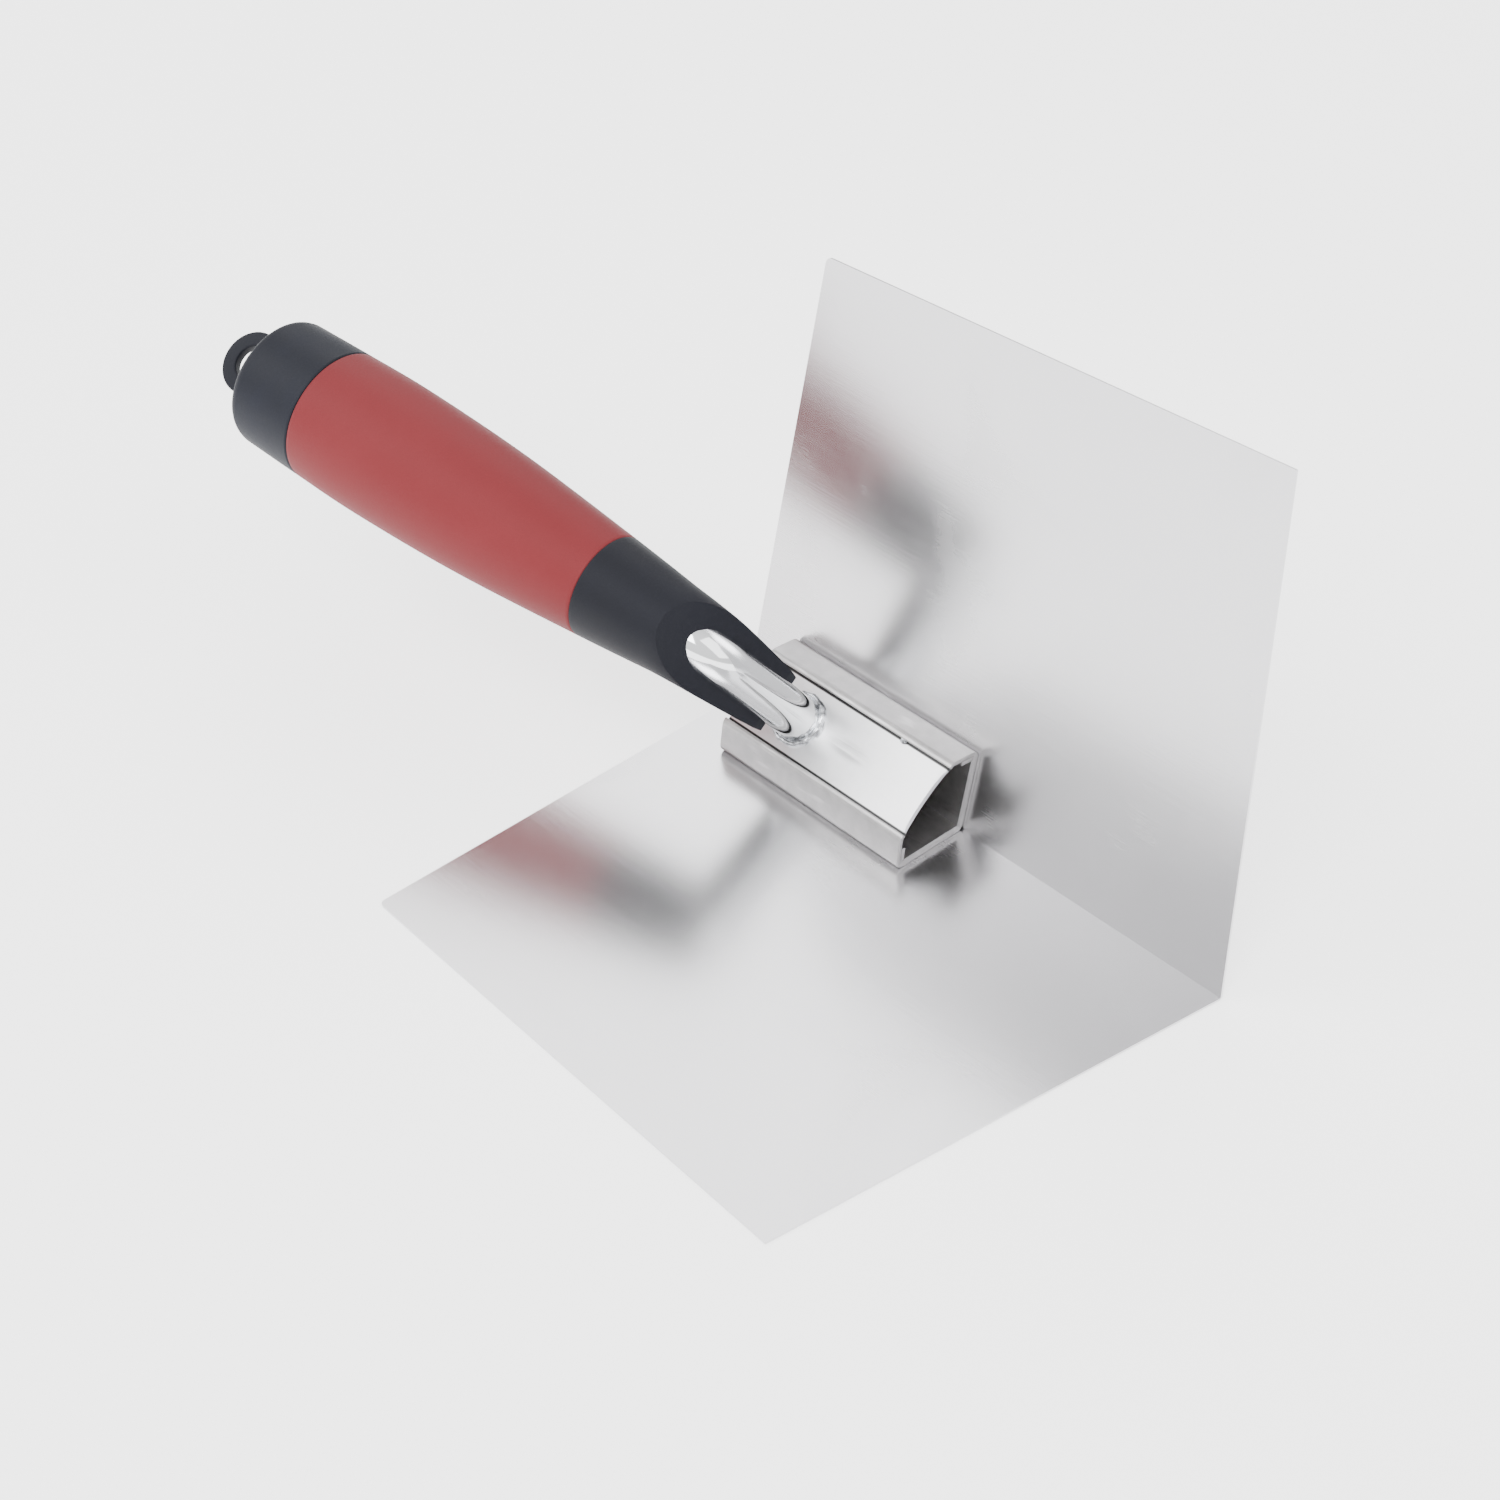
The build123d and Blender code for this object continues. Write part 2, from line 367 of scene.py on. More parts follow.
def plate_steel(axes, settings, toe):
    """Bright satin sheet: mottling, a streak of residue ahead of the toe and painted shadow along the lips,
    where the lips shade the plate's edges.
    """
    finish = Finish("plate_steel", metallic=1.0)
    mottle = finish.noise(finish.place, 420.0, 4.0, 0.6)
    lines = finish.noise(finish.stretched((60, 1500, 1500)), 1.0, 4.0, 0.6)
    away = finish.node(
        "ShaderNodeMapping", {"vector_type": "POINT"},
        {"Vector": finish.place, "Location": tuple(-part for part in toe)},
    )
    streak = finish.node(
        "ShaderNodeMapping", {"vector_type": "POINT"}, {"Vector": away, "Scale": (0.19, 0.55, 0.55)}
    )
    reach = finish.node("ShaderNodeVectorMath", {"operation": "LENGTH"}, {0: streak}, "Value")
    aside = finish.node(
        "ShaderNodeVectorMath", {"operation": "DOT_PRODUCT"}, {0: away, 1: axes.sideways}, "Value"
    )
    # Painted shadow: the plate's edge bands under the lips are darkened to stand in for the shade the lips
    # cast on the plate.
    lip_shadow_mask = abs(aside).fade(mm(7.05), mm(7.3))
    residue = (1 - reach.fade(0.0004, 0.0013)) * lines.fade(0.3, 0.62)
    shade = finish.mix(mottle.fade(0.25, 0.7), darker(settings.plate_colour, 0.94), settings.plate_colour)
    shade = finish.mix((residue * 0.5).clamped(), shade, darker(settings.plate_colour, 0.35))
    # Painted shadow under the lips: nearly black bands along both sides of the plate.
    shade = finish.mix(lip_shadow_mask, shade, darker(settings.plate_colour, 0.05))
    roughness = 0.36 + mottle * 0.1 + residue * 0.15
    return finish.set(base_color=shade, roughness=roughness, normal=finish.bump(mottle, 0.00002, 0.5))


def bright_chrome(settings):
    """Bright plating with the slight waviness of the metal under it."""
    finish = Finish("bright_chrome", metallic=1.0)
    wave = finish.noise(finish.place, 120.0, 2.0, 0.4)
    fine = finish.noise(finish.place, 1500.0, 2.0, 0.5)
    haze = finish.noise(finish.place, 60.0, 3.0, 0.55)
    shade = finish.mix(haze.fade(0.45, 0.75) * 0.5, settings.chrome, darker(settings.chrome, 0.88))
    roughness = 0.08 + haze.fade(0.4, 0.8) * 0.08
    return finish.set(
        base_color=shade, roughness=roughness,
        normal=finish.bump(wave + fine * 0.05, 0.00012, 0.35),
    )


def weld_metal(settings):
    """Plated-over weld bead: lumpy, darker in its pits."""
    finish = Finish("weld_metal", metallic=1.0)
    lumps = finish.noise(finish.place, 500.0, 3.0, 0.5)
    pits = finish.noise(finish.place, 1700.0, 2.0, 0.5)
    shade = finish.mix(lumps.fade(0.35, 0.62), darker(settings.weld, 0.35), darker(settings.weld, 1.9))
    return finish.set(
        base_color=shade, roughness=0.16 + pits * 0.15, normal=finish.bump(lumps, 0.00008, 0.5)
    )


def soft_rubber(name, shade, dust, grain, specular):
    """Soft moulded rubber: fine grain, worn-smooth areas and a thin film of dust."""
    finish = Finish(name, specular=specular)
    pores = finish.noise(finish.place, 2600.0, 2.0, 0.5)
    patches = finish.noise(finish.place, 55.0, 4.0, 0.6, 0.4)
    clouds = finish.noise(finish.place, 18.0, 2.0, 0.5)
    specks = finish.noise(finish.place, 700.0, 2.0, 0.5).fade(0.66, 0.74)
    film = (patches.fade(0.4, 0.75) * 0.55 + clouds.fade(0.35, 0.7) * 0.45).clamped()
    tone = finish.mix(film * 0.5, darker(shade, 0.94), dust)
    tone = finish.mix(specks * 0.12, tone, dust)
    return finish.set(
        base_color=tone,
        roughness=0.52 + film * 0.12 + pores * 0.08,
        normal=finish.bump(pores, grain, 0.5),
    )


def grip_rubber(settings):
    shade = tuple(settings.grip_colour)
    dust = (shade[0] * 1.12, shade[1] * 1.35, shade[2] * 1.35)
    return soft_rubber("grip_rubber", shade, dust, 0.00006, 0.15)


def nose_rubber(settings):
    shade = tuple(settings.nose_colour)
    return soft_rubber("nose_rubber", shade, darker(shade, 2.2), 0.00004, 0.2)


def cap_rubber(settings):
    shade = tuple(settings.cap_colour)
    return soft_rubber("cap_rubber", shade, darker(shade, 2.0), 0.00004, 0.2)


def loop_plastic(settings):
    shade = darker(settings.cap_colour, 0.85)
    return soft_rubber("loop_plastic", shade, darker(shade, 1.5), 0.00003, 0.2)


# ---------------------------------------------------------------- modelling helpers


def make_piece(name, shape, matrix, material, slot, *nodes, sharp=40):
    """Turns a bmesh, modelled in local axes, into a finished piece at its place in the frame."""
    for face in shape.faces:
        face.smooth = face.calc_area() < mm(FLAT_WIDTH) * face.calc_perimeter() / 2
    bmesh.ops.transform(shape, matrix=matrix, verts=shape.verts)
    mesh = bpy.data.meshes.new(name)
    shape.to_mesh(mesh)
    shape.free()
    mesh.set_sharp_from_angle(angle=radians(sharp))
    piece = bpy.data.objects.new(name, mesh)
    bpy.context.scene.collection.objects.link(piece)
    mesh.materials.append(material)
    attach(piece, BODY)
    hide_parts(*nodes)
    return piece


def chain(shape, points):
    """A line of edges through points."""
    verts = [shape.verts.new(point) for point in points]
    return [shape.edges.new(pair) for pair in zip(verts, verts[1:])]


def pull(shape, edges, offset=(0, 0, 0)):
    """Extrudes edges by an offset; returns the new edges and vertices."""
    made = bmesh.ops.extrude_edge_only(shape, edges=edges)["geom"]
    verts = [part for part in made if isinstance(part, bmesh.types.BMVert)]
    moved = set(verts)
    bmesh.ops.translate(shape, vec=offset, verts=verts)
    ends = [part for part in made if isinstance(part, bmesh.types.BMEdge) and moved.issuperset(part.verts)]
    return ends, verts


def bent_sheet(points, size):
    """A sheet whose section is a line through points, drawn out along x."""
    shape = bmesh.new()
    pull(shape, chain(shape, points), (size, 0, 0))
    return shape


def fold_edges(shape):
    """Edges between two faces that meet at an angle."""
    return [edge for edge in shape.edges if len(edge.link_faces) == 2 and edge.calc_face_angle() > 0.02]


def round_folds(shape, radius, segments):
    """Rounds each fold of a sheet to a radius, or less where nearby edges leave no room."""
    for edge in fold_edges(shape):
        if not edge.is_valid:
            continue
        setback = radius * tan(edge.calc_face_angle() / 2)
        bmesh.ops.bevel(
            shape, geom=[edge], offset=setback, offset_type="OFFSET", segments=segments,
            profile=0.5, affect="EDGES", material=-1, clamp_overlap=True,
        )


def ease(shape, amount, segments=2, angle=50):
    """A small round on each sharp edge."""
    bmesh.ops.recalc_face_normals(shape, faces=shape.faces)
    sharp = [
        edge for edge in shape.edges
        if len(edge.link_faces) == 2 and edge.calc_face_angle() > radians(angle)
    ]
    bmesh.ops.bevel(
        shape, geom=sharp, offset=amount, offset_type="OFFSET", segments=segments, profile=0.5,
        affect="EDGES", material=-1, clamp_overlap=True,
    )


def lathe(profile, steps=128):
    """Spins a profile of (station, radius) round the x axis and closes its poles."""
    shape = bmesh.new()
    edges = chain(shape, [(station, 0, radius) for station, radius in profile])
    bmesh.ops.spin(
        shape, geom=edges + shape.verts[:], cent=(0, 0, 0), axis=(1, 0, 0), angle=2 * pi,
        steps=steps, use_merge=True, use_duplicate=False,
    )
    bmesh.ops.remove_doubles(shape, verts=shape.verts, dist=mm(0.002))
    bmesh.ops.recalc_face_normals(shape, faces=shape.faces)
    return shape


def curve_through(points, count):
    """Evenly spread points on a smooth curve through a few (station, radius) points."""
    path = []
    spans = len(points) - 1
    for index in range(count):
        place = index / (count - 1) * spans
        span = min(int(place), spans - 1)
        rest = place - span
        before, start, end, after = (points[max(0, min(spans, span + step))] for step in (-1, 0, 1, 2))
        path.append(tuple(
            0.5 * (2 * b + (c - a) * rest + (2 * a - 5 * b + 4 * c - d) * rest ** 2
                   + (3 * b - a - 3 * c + d) * rest ** 3)
            for a, b, c, d in zip(before, start, end, after)
        ))
    return path


# Lengths in millimetres. Faces wider than FLAT_WIDTH are shaded flat. NOSE_FOOT is the distance along
# the tang from the plate to the ears; NOSE_MOUTH is the nose's cut and HANDLE_OUTLINE its (station, radius).
FLAT_WIDTH = 1.6
PLATE_CORNER = 1.5
PLATE_HOLLOW_SHARE = 0.8
RESIDUE_AHEAD = 14
TACK_WIDTH = 1.5
TACK_HEIGHT = 0.9
CAP_ROUND = 2.5
CAP_DISC = (9, 6, 3, 0)
SEAM_EDGE = 0.3
LATHE_BORE = 6
NOSE_FOOT = 4.1
NOSE_FOOT_RADIUS = 6.1
NOSE_MOUTH = [(104.9, 18.9), (103.3, 20.9), (102.9, 24.0), (103.8, 34.0), (105.1, 42.5), (106.9, 49.5),
              (108.6, 53.5), (110.8, 57.5), (113.5, 62.0)]
HANDLE_OUTLINE = [(-17, 9.2), (0, 10.9), (31, 13.5), (58, 14.5), (76, 14.3), (92.7, 13.9)]


def handle_radius(station):
    """Radius of the handle's outside at a station, both in millimetres."""
    fine = curve_through(HANDLE_OUTLINE, 200)
    for (low, low_radius), (high, high_radius) in zip(fine, fine[1:]):
        if low <= station <= high:
            return low_radius + (high_radius - low_radius) * (station - low) / (high - low)
    return HANDLE_OUTLINE[-1][1] if station > 0 else HANDLE_OUTLINE[0][1]


def outside(start, end, count):
    """Points of the handle's outline between two stations, in metres."""
    stations = [start + (end - start) * index / (count - 1) for index in range(count)]
    return [(mm(station), mm(handle_radius(station))) for station in stations]


def rounded(corner, turn_from, turn_to, radius, count=6):
    """Points of a quarter round at a corner, from one direction to another, in millimetres."""
    points = []
    for index in range(count):
        share = index / (count - 1) * pi / 2
        points.append((
            mm(corner[0] + radius * (turn_from[0] * cos(share) + turn_to[0] * sin(share))),
            mm(corner[1] + radius * (turn_from[1] * cos(share) + turn_to[1] * sin(share))),
        ))
    return points


# ---------------------------------------------------------------- pieces


class TROWEL_OT_blade(bpy.types.Operator):
    """Build the folded blade"""

    bl_idname = "trowel.blade"
    bl_label = "Blade"

    def execute(self, context):
        axes = Axes(context.scene)
        settings = context.scene.trowel_blade
        reach = settings.near_reach
        leaf = Vector((0, sin(axes.half), cos(axes.half)))
        other = Vector((0, -leaf.y, leaf.z))
        size = BLADE_HIGH.x - BLADE_LOW.x
        shape = bent_sheet([reach * other, (0, 0, 0), reach * leaf], size)
        for direction in (leaf, other):
            faces = [face for face in shape.faces if face.calc_center_median().dot(direction) > reach * 0.4]
            near = Vector((settings.near_setback, 0, 0)) + direction * settings.near_reach
            far = Vector((size - settings.far_setback, 0, 0)) + direction * settings.far_reach
            facing = self.cross_of(direction)
            for place, line in (
                (near, near), (far, far - Vector((size, 0, 0))), (near, far - near)
            ):
                outward = line.cross(facing).normalized()
                middle = Vector((size / 2, 0, 0)) + direction * reach / 2
                if outward.dot(middle - place) > 0:
                    outward = -outward
                faces = [face for face in faces if face.is_valid]
                parts = {part for face in faces for part in (face, *face.edges, *face.verts)}
                cut = bmesh.ops.bisect_plane(
                    shape, geom=list(parts), plane_co=place, plane_no=outward, clear_outer=True
                )
                faces = [part for part in cut["geom"] if isinstance(part, bmesh.types.BMFace)]
        free = [vert for vert in shape.verts if vert.co.yz.length > reach * 0.5]
        bmesh.ops.bevel(
            shape, geom=free, offset=settings.corner_radius, offset_type="OFFSET", segments=5,
            profile=0.5, affect="VERTICES", material=-1,
        )
        round_folds(shape, settings.fold_radius, 10)
        bmesh.ops.recalc_face_normals(shape, faces=shape.faces)
        inner = sum((face.normal.z for face in shape.faces)) > 0
        bmesh.ops.solidify(shape, geom=shape.faces[:], thickness=settings.gauge if inner else -settings.gauge)
        ease(shape, settings.gauge * 0.16)
        make_piece(
            "blade_sheet", shape, axes.trowel, blade_steel(settings), "blade_steel", "blade", sharp=18
        )
        return {"FINISHED"}

    @staticmethod
    def cross_of(direction):
        """Normal of the leaf that runs from the fold in a direction."""
        return Vector((1, 0, 0)).cross(direction).normalized()


class TROWEL_OT_mount(bpy.types.Operator):
    """Build the channel, its liner, the plate and the plate's weld tack"""

    bl_idname = "trowel.mount"
    bl_label = "Mount"

    def execute(self, context):
        axes = Axes(context.scene)
        settings = context.scene.trowel_mount
        sheet_finish = plated_sheet(settings)
        self.channel(axes, settings, sheet_finish)
        self.liner(axes, settings, sheet_finish)
        self.plate(axes, settings, context.scene.trowel_tang)
        self.tack(axes, context.scene)
        return {"FINISHED"}

    @staticmethod
    def section(axes, settings, inset):
        """Corners of the mount's section on one side, moved inwards: fold, foot, seat corner."""
        foot = settings.leg_reach * Vector((sin(axes.half), cos(axes.half)))
        seat = Vector((settings.seat_half_width, settings.seat_height))
        lines = [(Vector((0, 0)), foot), (foot, seat)]
        moved = []
        for start, end in lines:
            direction = (end - start).normalized()
            inward = Vector((-direction.y, direction.x)) * inset
            moved.append((start + inward, end + inward))
        fold = Vector((0, inset / sin(axes.half)))
        (a, b), (c, d) = moved
        first = b - a
        second = d - c
        share = ((c - a).x * second.y - (c - a).y * second.x) / (first.x * second.y - first.y * second.x)
        corner = a + first * share
        top = settings.seat_height - inset
        slope = (d - c).x / (d - c).y
        seat_corner = Vector((c.x + (top - c.y) * slope, top))
        return fold, corner, seat_corner

    def channel(self, axes, settings, finish):
        _, foot, seat = self.section(axes, settings, 0)
        lip = (settings.lip_opening / 2, settings.seat_height)
        side = [tuple(foot), tuple(seat), lip]
        points = [(-y, z) for y, z in reversed(side)] + [(0, 0)] + side
        self.sheet("channel_sheet", points, axes, settings, finish, "mounting_channel")

    def liner(self, axes, settings, finish):
        fold, foot, seat = self.section(axes, settings, settings.sheet)
        slope = (seat - foot).x / (seat - foot).y
        top = settings.seat_height - settings.sheet - settings.plate_gap - settings.plate_gauge
        rim = (foot.x + (top - foot.y) * slope, top)
        side = [tuple(foot), rim]
        points = [(-y, z) for y, z in reversed(side)] + [tuple(fold)] + side
        self.sheet("liner_sheet", points, axes, settings, finish, "channel_liner")

    @staticmethod
    def sheet(name, points, axes, settings, finish, node):
        shape = bent_sheet([(settings.start, y, z) for y, z in points], settings.size)
        radius = settings.bend_radius if node == "mounting_channel" else settings.bend_radius - settings.sheet
        round_folds(shape, radius, 6)
        bmesh.ops.recalc_face_normals(shape, faces=shape.faces)
        lowest = min(shape.faces, key=lambda face: face.calc_center_median().z)
        inward = lowest.normal.z > 0
        thickness = -settings.sheet if inward else settings.sheet
        bmesh.ops.solidify(shape, geom=shape.faces[:], thickness=thickness)
        ease(shape, mm(0.2))
        make_piece(name, shape, axes.trowel, finish, "mount_steel", node, sharp=20)

    def plate(self, axes, settings, tang):
        gap = settings.plate_gap
        _, foot, seat = self.section(axes, settings, settings.sheet + gap)
        slope = (seat - foot).x / (seat - foot).y
        top = settings.seat_height - settings.sheet - gap
        near = settings.start + settings.plate_setback
        far = settings.start + settings.size
        shape = bmesh.new()
        half = foot.x + (top - foot.y) * slope
        steps = 24
        rim = []
        for index in range(steps + 1):
            across = -1 + 2 * index / steps
            hollow = settings.plate_hollow * max(0.0, 1 - (across / PLATE_HOLLOW_SHARE) ** 2) ** 0.5
            rim.append(shape.verts.new((near + hollow, across * half, top)))
        rim.append(shape.verts.new((far, half, top)))
        rim.append(shape.verts.new((far, -half, top)))
        face = shape.faces.new(rim)
        bmesh.ops.bevel(
            shape, geom=[rim[0], rim[steps]], offset=mm(PLATE_CORNER), offset_type="OFFSET", segments=5,
            profile=0.5, affect="VERTICES", material=-1,
        )
        shape.faces.ensure_lookup_table()
        made = bmesh.ops.extrude_face_region(shape, geom=shape.faces[:])["geom"]
        lower = [part for part in made if isinstance(part, bmesh.types.BMVert)]
        for vert in lower:
            vert.co.z -= settings.plate_gauge
            vert.co.y *= (half - settings.plate_gauge * slope) / half
        ease(shape, mm(0.15), 3)
        toe = Vector((tang.foot - mm(RESIDUE_AHEAD), 0, top))
        make_piece(
            "plate_sheet", shape, axes.trowel, plate_steel(axes, settings, axes.trowel @ toe), "plate_steel",
            "mounting_plate", sharp=35,
        )

    @staticmethod
    def tack(axes, scene):
        low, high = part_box("plate_tack")
        centre = (low + high) / 2
        shape = bmesh.new()
        bmesh.ops.create_icosphere(shape, subdivisions=4, radius=0.5)
        for vert in shape.verts:
            vert.co *= 1 + 0.16 * noise.noise(vert.co * 3)
            vert.co.x *= high.x - low.x
            vert.co.y *= mm(TACK_WIDTH)
            vert.co.z *= mm(TACK_HEIGHT)
        matrix = Axes.matrix(centre, axes.along, axes.sideways, axes.upwards)
        make_piece(
            "tack_bead", shape, matrix, weld_metal(scene.trowel_tang), "weld_metal", "plate_tack"
        )


class TangPath:
    """The tang's centre line: up the leg, round the bend and along the handle."""

    def __init__(self, scene):
        tang, handle, mount = scene.trowel_tang, scene.trowel_handle, scene.trowel_mount
        plate_top = mount.seat_height - mount.sheet - mount.plate_gap
        gap = handle.height - plate_top - tan(handle.rise) * (handle.station - tang.foot)
        run = gap / (tan(tang.lean) - tan(handle.rise))
        self.radius = tang.radius
        self.foot = Vector((tang.foot, 0, plate_top))
        self.bend = tang.bend
        self.lean = tang.lean
        self.turn = tang.lean - handle.rise
        self.leg = Vector((cos(tang.lean), 0, sin(tang.lean)))
        self.rise = Vector((cos(handle.rise), 0, sin(handle.rise)))
        self.straight = run / cos(tang.lean) - tang.bend * tan(self.turn / 2)
        self.pivot = self.foot + self.leg * self.straight
        self.pivot += Vector((sin(tang.lean), 0, -cos(tang.lean))) * tang.bend
        self.bend_end = self.straight + tang.bend * self.turn
        joint = Vector((handle.station, 0, handle.height))
        last = self.point(self.bend_end)[0]
        self.joint = self.bend_end + (joint - last).length

    def point(self, distance):
        """Place and direction of the centre line at a distance from the plate."""
        if distance <= self.straight:
            return self.foot + self.leg * distance, self.leg
        angle = min(distance, self.bend_end) / self.bend - self.straight / self.bend
        heading = self.lean - angle
        direction = Vector((cos(heading), 0, sin(heading)))
        place = self.pivot - Vector((sin(heading), 0, -cos(heading))) * self.bend
        if distance > self.bend_end:
            place = place + self.rise * (distance - self.bend_end)
        return place, direction

    @staticmethod
    def stations(start, end, count):
        return [start + (end - start) * index / count for index in range(count + 1)]

    def sweep(self, shape, distances, girth, segments):
        """Pulls a ring along the centre line and closes it; girth gives its radius at a distance."""
        ring = bmesh.ops.create_circle(shape, segments=segments, radius=1)["verts"]
        edges = shape.edges[:]
        local = [Vector((vert.co.x, vert.co.y, 0)) for vert in ring]
        for distance in distances:
            if distance > distances[0]:
                edges, ring = pull(shape, edges)
                local = [unplaced @ vert.co for vert in ring]
            centre, direction = self.point(distance)
            across = Vector((direction.z, 0, -direction.x))
            placed = Axes.matrix(centre, across * girth(distance), Vector((0, girth(distance), 0)), direction)
            unplaced = placed.inverted()
            for vert, place in zip(ring, local):
                vert.co = placed @ place
        bmesh.ops.holes_fill(shape, edges=shape.edges)
        bmesh.ops.recalc_face_normals(shape, faces=shape.faces)


class TROWEL_OT_tang(bpy.types.Operator):
    """Build the bent tang and the weld bead round its foot"""

    bl_idname = "trowel.tang"
    bl_label = "Tang"

    def execute(self, context):
        scene = context.scene
        axes = Axes(scene)
        self.bar(axes, scene)
        self.weld(axes, scene)
        return {"FINISHED"}

    @staticmethod
    def bar(axes, scene):
        path = TangPath(scene)
        shape = bmesh.new()
        path.sweep(shape, path.stations(-mm(2), path.joint, 90), lambda distance: path.radius, 96)
        faces = shape.verts[:] + shape.edges[:] + shape.faces[:]
        below = path.foot - Vector((0, 0, mm(0.05)))
        bmesh.ops.bisect_plane(shape, geom=faces, plane_co=below, plane_no=(0, 0, -1), clear_outer=True)
        bmesh.ops.holes_fill(shape, edges=shape.edges)
        make_piece(
            "tang_bar", shape, axes.swung, bright_chrome(scene.trowel_mount), "bright_chrome",
            "tang", sharp=60,
        )

    def weld(self, axes, scene):
        tang = scene.trowel_tang
        foot = TangPath(scene).foot
        long_radius = tang.radius / sin(tang.lean)
        shape = bmesh.new()
        section = [
            (tang.weld_width * 0.5 * cos(turn) + tang.weld_width * 0.25,
             tang.weld_height * 0.62 * sin(turn))
            for turn in (pi * (index / 12 * 1.35 - 0.18) for index in range(13))
        ]
        edges = chain(shape, [(0, 1 + across / tang.radius, up / tang.radius) for across, up in section])
        bmesh.ops.spin(
            shape, geom=shape.verts[:] + edges, cent=(0, 0, 0), axis=(0, 0, 1), angle=2 * pi, steps=160,
            use_merge=True, use_duplicate=False,
        )
        for vert in shape.verts:
            flat = Vector((vert.co.x, vert.co.y, 0))
            lump = noise.noise(Vector((vert.co.x * 3.1, vert.co.y * 3.1, 0.4))) * 0.05
            ripple = noise.noise(vert.co * 7) * 0.012
            vert.co.x *= 1 + lump + ripple
            vert.co.y *= 1 + lump + ripple
            vert.co.z *= 1 + 2.5 * lump
            vert.co.x *= long_radius
            vert.co.y *= tang.radius
            vert.co.z *= tang.radius
        bmesh.ops.translate(shape, vec=foot, verts=shape.verts)
        bmesh.ops.recalc_face_normals(shape, faces=shape.faces)
        make_piece("weld_bead", shape, axes.trowel, weld_metal(tang), "weld_metal", "tang_weld", sharp=70)


def smooth(value, low, high):
    """0 below low, 1 above high and smooth in between."""
    share = min(max((value - low) / (high - low), 0.0), 1.0)
    return share * share * (3 - 2 * share)


class TROWEL_OT_handle(bpy.types.Operator):
    """Build the nose, the grip and the end cap"""

    bl_idname = "trowel.handle"
    bl_label = "Handle"

    def execute(self, context):
        axes = Axes(context.scene)
        settings = context.scene.trowel_handle
        self.nose(axes, context.scene)
        self.grip(axes, settings)
        self.cap(axes, settings)
        return {"FINISHED"}

    @staticmethod
    def nose(axes, scene):
        path = TangPath(scene)
        settings = scene.trowel_handle

        def girth(distance):
            if distance >= path.bend_end:
                return mm(handle_radius((distance - path.joint) / MM))
            share = (distance - NOSE_FOOT * MM) / (path.bend_end - NOSE_FOOT * MM)
            return mm(NOSE_FOOT_RADIUS + (handle_radius(-16.9) - NOSE_FOOT_RADIUS) * share ** 0.85)

        shape = bmesh.new()
        path.sweep(shape, path.stations(mm(NOSE_FOOT), path.joint - mm(0.02), 72), girth, 144)
        for low, high in zip(NOSE_MOUTH, NOSE_MOUTH[1:]):
            start = Vector((mm(low[0]), 0, mm(low[1])))
            along = Vector((mm(high[0]), 0, mm(high[1]))) - start
            outward = Vector((-along.z, 0, along.x)).normalized()
            geometry = shape.verts[:] + shape.edges[:] + shape.faces[:]
            bmesh.ops.bisect_plane(
                shape, geom=geometry, plane_co=start, plane_no=outward, clear_outer=True
            )
            bmesh.ops.holes_fill(shape, edges=shape.edges)
        bmesh.ops.dissolve_degenerate(shape, dist=mm(0.01), edges=shape.edges)
        ease(shape, mm(0.35), 3, 32)
        make_piece(
            "nose", shape, axes.swung, nose_rubber(settings), "nose_rubber", "nose_sleeve", sharp=30
        )

    @staticmethod
    def grip(axes, settings):
        end = settings.cap_start / MM
        profile = [(0, mm(LATHE_BORE)), (0, mm(handle_radius(0) - SEAM_EDGE))]
        profile += outside(SEAM_EDGE, end - SEAM_EDGE, 120)
        profile += [(mm(end), mm(handle_radius(end) - SEAM_EDGE)), (mm(end), mm(LATHE_BORE))]
        profile.append(profile[0])
        shape = lathe(profile, 144)
        make_piece("grip", shape, axes.grip, grip_rubber(settings), "grip_rubber", "grip_sleeve", sharp=50)

    @staticmethod
    def cap(axes, settings):
        start = settings.cap_start / MM
        end = settings.end / MM
        rim = handle_radius(end)
        profile = [(mm(start), mm(LATHE_BORE)), (mm(start), mm(handle_radius(start) - SEAM_EDGE))]
        profile += outside(start + SEAM_EDGE, end - CAP_ROUND, 50)
        profile += rounded((end - CAP_ROUND, rim - CAP_ROUND), (0, 1), (1, 0), CAP_ROUND, 10)
        profile += [(mm(end), mm(radius)) for radius in CAP_DISC]
        profile.append((mm(start), 0))
        profile.append(profile[0])
        shape = lathe(profile, 144)
        make_piece("cap", shape, axes.grip, cap_rubber(settings), "cap_rubber", "end_cap", sharp=50)


class TROWEL_OT_hang_loop(bpy.types.Operator):
    """Build the hang loop"""

    bl_idname = "trowel.hang_loop"
    bl_label = "Hang loop"

    def execute(self, context):
        axes = Axes(context.scene)
        settings = context.scene.trowel_handle
        half = settings.loop_gauge / 2
        inner = settings.loop_hole
        outer = settings.loop_radius
        shape = bmesh.new()
        corners = [
            (settings.loop_root, y, z)
            for y, z in ((inner, half), (outer, half), (outer, -half), (inner, -half))
        ]
        section = chain(shape, corners)
        section.append(shape.edges.new((section[-1].verts[1], section[0].verts[0])))
        reach = Vector((settings.loop_centre - settings.loop_root, 0, 0))
        section, _ = pull(shape, section, reach)
        spun = bmesh.ops.spin(
            shape, geom=section, cent=(settings.loop_centre, 0, 0), axis=(0, 0, 1), angle=-pi, steps=40,
            use_merge=False, use_duplicate=False,
        )["geom_last"]
        section = [part for part in spun if isinstance(part, bmesh.types.BMEdge)]
        pull(shape, section, -reach)
        bmesh.ops.holes_fill(shape, edges=shape.edges)
        ease(shape, mm(0.45), 4, 60)
        make_piece(
            "loop", shape, axes.grip, loop_plastic(settings), "loop_plastic", "hang_loop", sharp=45
        )
        return {"FINISHED"}


# ---------------------------------------------------------------- stage


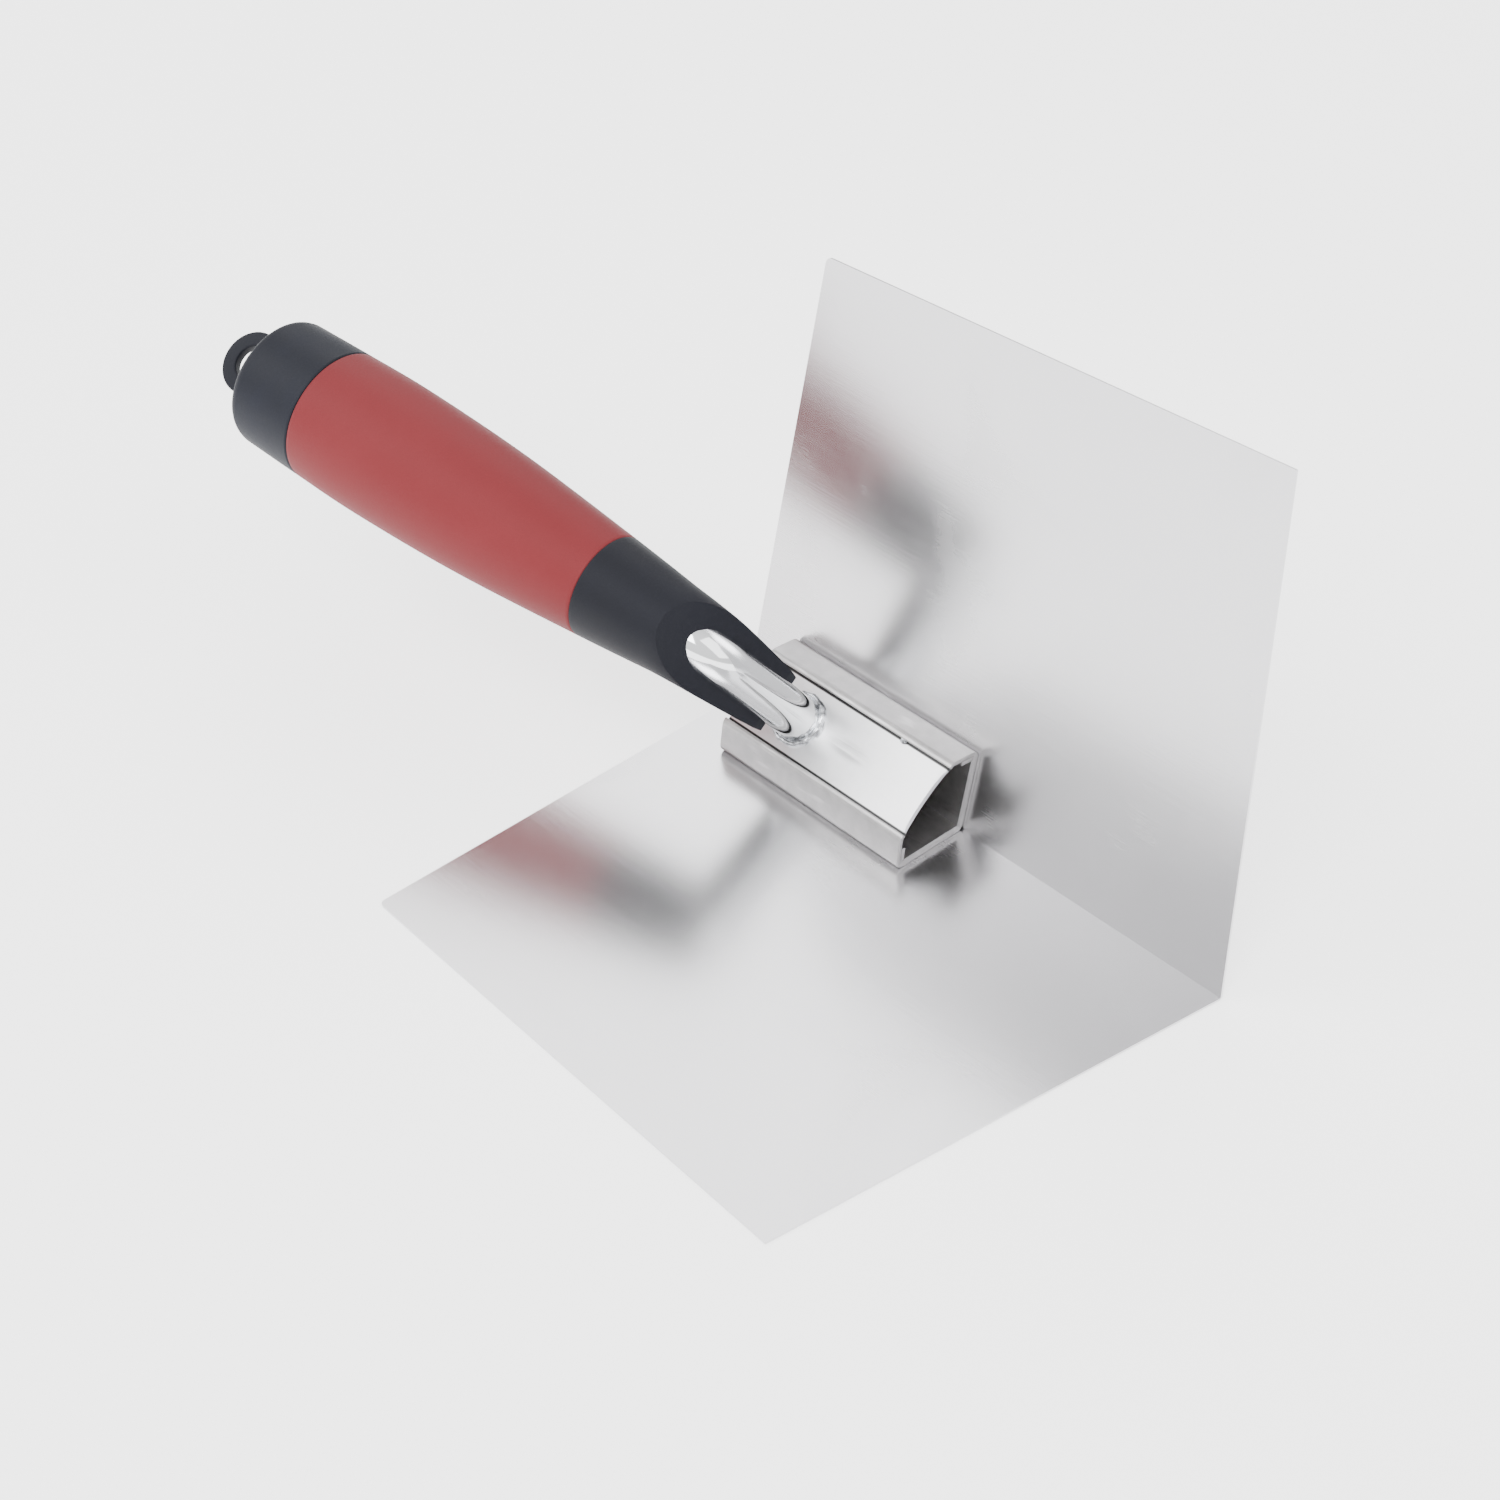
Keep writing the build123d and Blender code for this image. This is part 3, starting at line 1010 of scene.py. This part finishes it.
class TROWEL_OT_stage(bpy.types.Operator):
    """Build the floor, the lights and the camera"""

    bl_idname = "trowel.stage"
    bl_label = "Stage"

    def execute(self, context):
        settings = context.scene.trowel_stage
        self.floor(settings)
        self.lights(context.scene)
        self.camera(context.scene, settings)
        return {"FINISHED"}

    @staticmethod
    def floor(settings):
        shape = bmesh.new()
        bmesh.ops.create_grid(shape, x_segments=1, y_segments=1, size=4)
        bmesh.ops.translate(shape, vec=(0, 0, BLADE_LOW.z - mm(0.02)), verts=shape.verts)
        mesh = bpy.data.meshes.new("floor")
        shape.to_mesh(mesh)
        shape.free()
        floor = bpy.data.objects.new("floor", mesh)
        bpy.context.scene.collection.objects.link(floor)
        finish = Finish("floor_paint", roughness=0.75, glow_strength=1.5)
        mesh.materials.append(finish.set(base_color=tuple(settings.floor), glow=tuple(settings.floor)))

    @staticmethod
    def lights(scene):
        world = bpy.data.worlds.new("studio")
        scene.world = world
        world.use_nodes = True
        tree = world.node_tree
        background = tree.nodes["Background"]
        heading = tree.nodes.new("ShaderNodeTexCoord")
        facing = tree.nodes.new("ShaderNodeVectorMath")
        facing.operation = "DOT_PRODUCT"
        facing.inputs[1].default_value = Vector(scene.trowel_stage.camera_place).normalized()
        spread = tree.nodes.new("ShaderNodeMapRange")
        spread.inputs["From Min"].default_value = -0.6
        spread.inputs["From Max"].default_value = 0.9
        spread.inputs["To Min"].default_value = 1.05
        spread.inputs["To Max"].default_value = 1.6
        tree.links.new(heading.outputs["Generated"], facing.inputs[0])
        tree.links.new(facing.outputs["Value"], spread.inputs["Value"])
        tree.links.new(spread.outputs["Result"], background.inputs["Strength"])
        background.inputs["Color"].default_value = (1.0, 1.0, 1.0, 1)
        target = Vector((0.05, 0, 0.03))
        for name, place, size, power in (
            ("key", (-0.5, 0.9, 1.3), 0.9, 22),
            ("fill", (-1.2, -0.4, 0.9), 1.2, 10),
            ("back", (0.9, -0.9, 1.1), 1.0, 10),
            ("top", (0.80, 0.60, 0.90), 0.7, 9),
        ):
            light = bpy.data.lights.new(name, "AREA")
            light.size = size
            light.energy = power
            lamp = bpy.data.objects.new(name, light)
            lamp.location = place
            lamp.rotation_euler = (target - Vector(place)).to_track_quat("-Z", "Y").to_euler()
            scene.collection.objects.link(lamp)

    @staticmethod
    def camera(scene, settings):
        lens = bpy.data.cameras.new("camera")
        lens.sensor_width = 36
        lens.lens = settings.lens
        lens.clip_start = 0.01
        camera = bpy.data.objects.new("camera", lens)
        camera.location = settings.camera_place
        camera.rotation_euler = settings.camera_turn
        scene.collection.objects.link(camera)
        scene.camera = camera


OPERATORS = (
    TROWEL_OT_stage,
    TROWEL_OT_blade,
    TROWEL_OT_mount,
    TROWEL_OT_tang,
    TROWEL_OT_handle,
    TROWEL_OT_hang_loop,
)


class TROWEL_PT_sidebar(bpy.types.Panel):
    """Lists the trowel's settings and the buttons that build it"""

    bl_idname = "TROWEL_PT_sidebar"
    bl_label = "Inside corner trowel"
    bl_space_type = "VIEW_3D"
    bl_region_type = "UI"
    bl_category = "Trowel"

    def draw(self, context):
        for operator in OPERATORS:
            self.layout.operator(operator.bl_idname)
        for name, group in SETTINGS.items():
            box = self.layout.box()
            for setting in group.__annotations__:
                box.prop(getattr(context.scene, name), setting)


CLASSES = (*SETTINGS.values(), *OPERATORS, TROWEL_PT_sidebar)


def register():
    for cls in CLASSES:
        bpy.utils.register_class(cls)
    for name, group in SETTINGS.items():
        setattr(bpy.types.Scene, name, bpy.props.PointerProperty(type=group))


def unregister():
    for name in SETTINGS:
        delattr(bpy.types.Scene, name)
    for cls in reversed(CLASSES):
        bpy.utils.unregister_class(cls)


def main():
    register()
    for operator in OPERATORS:
        category, name = operator.bl_idname.split(".")
        getattr(getattr(bpy.ops, category), name)()


if __name__ == "__main__":
    main()
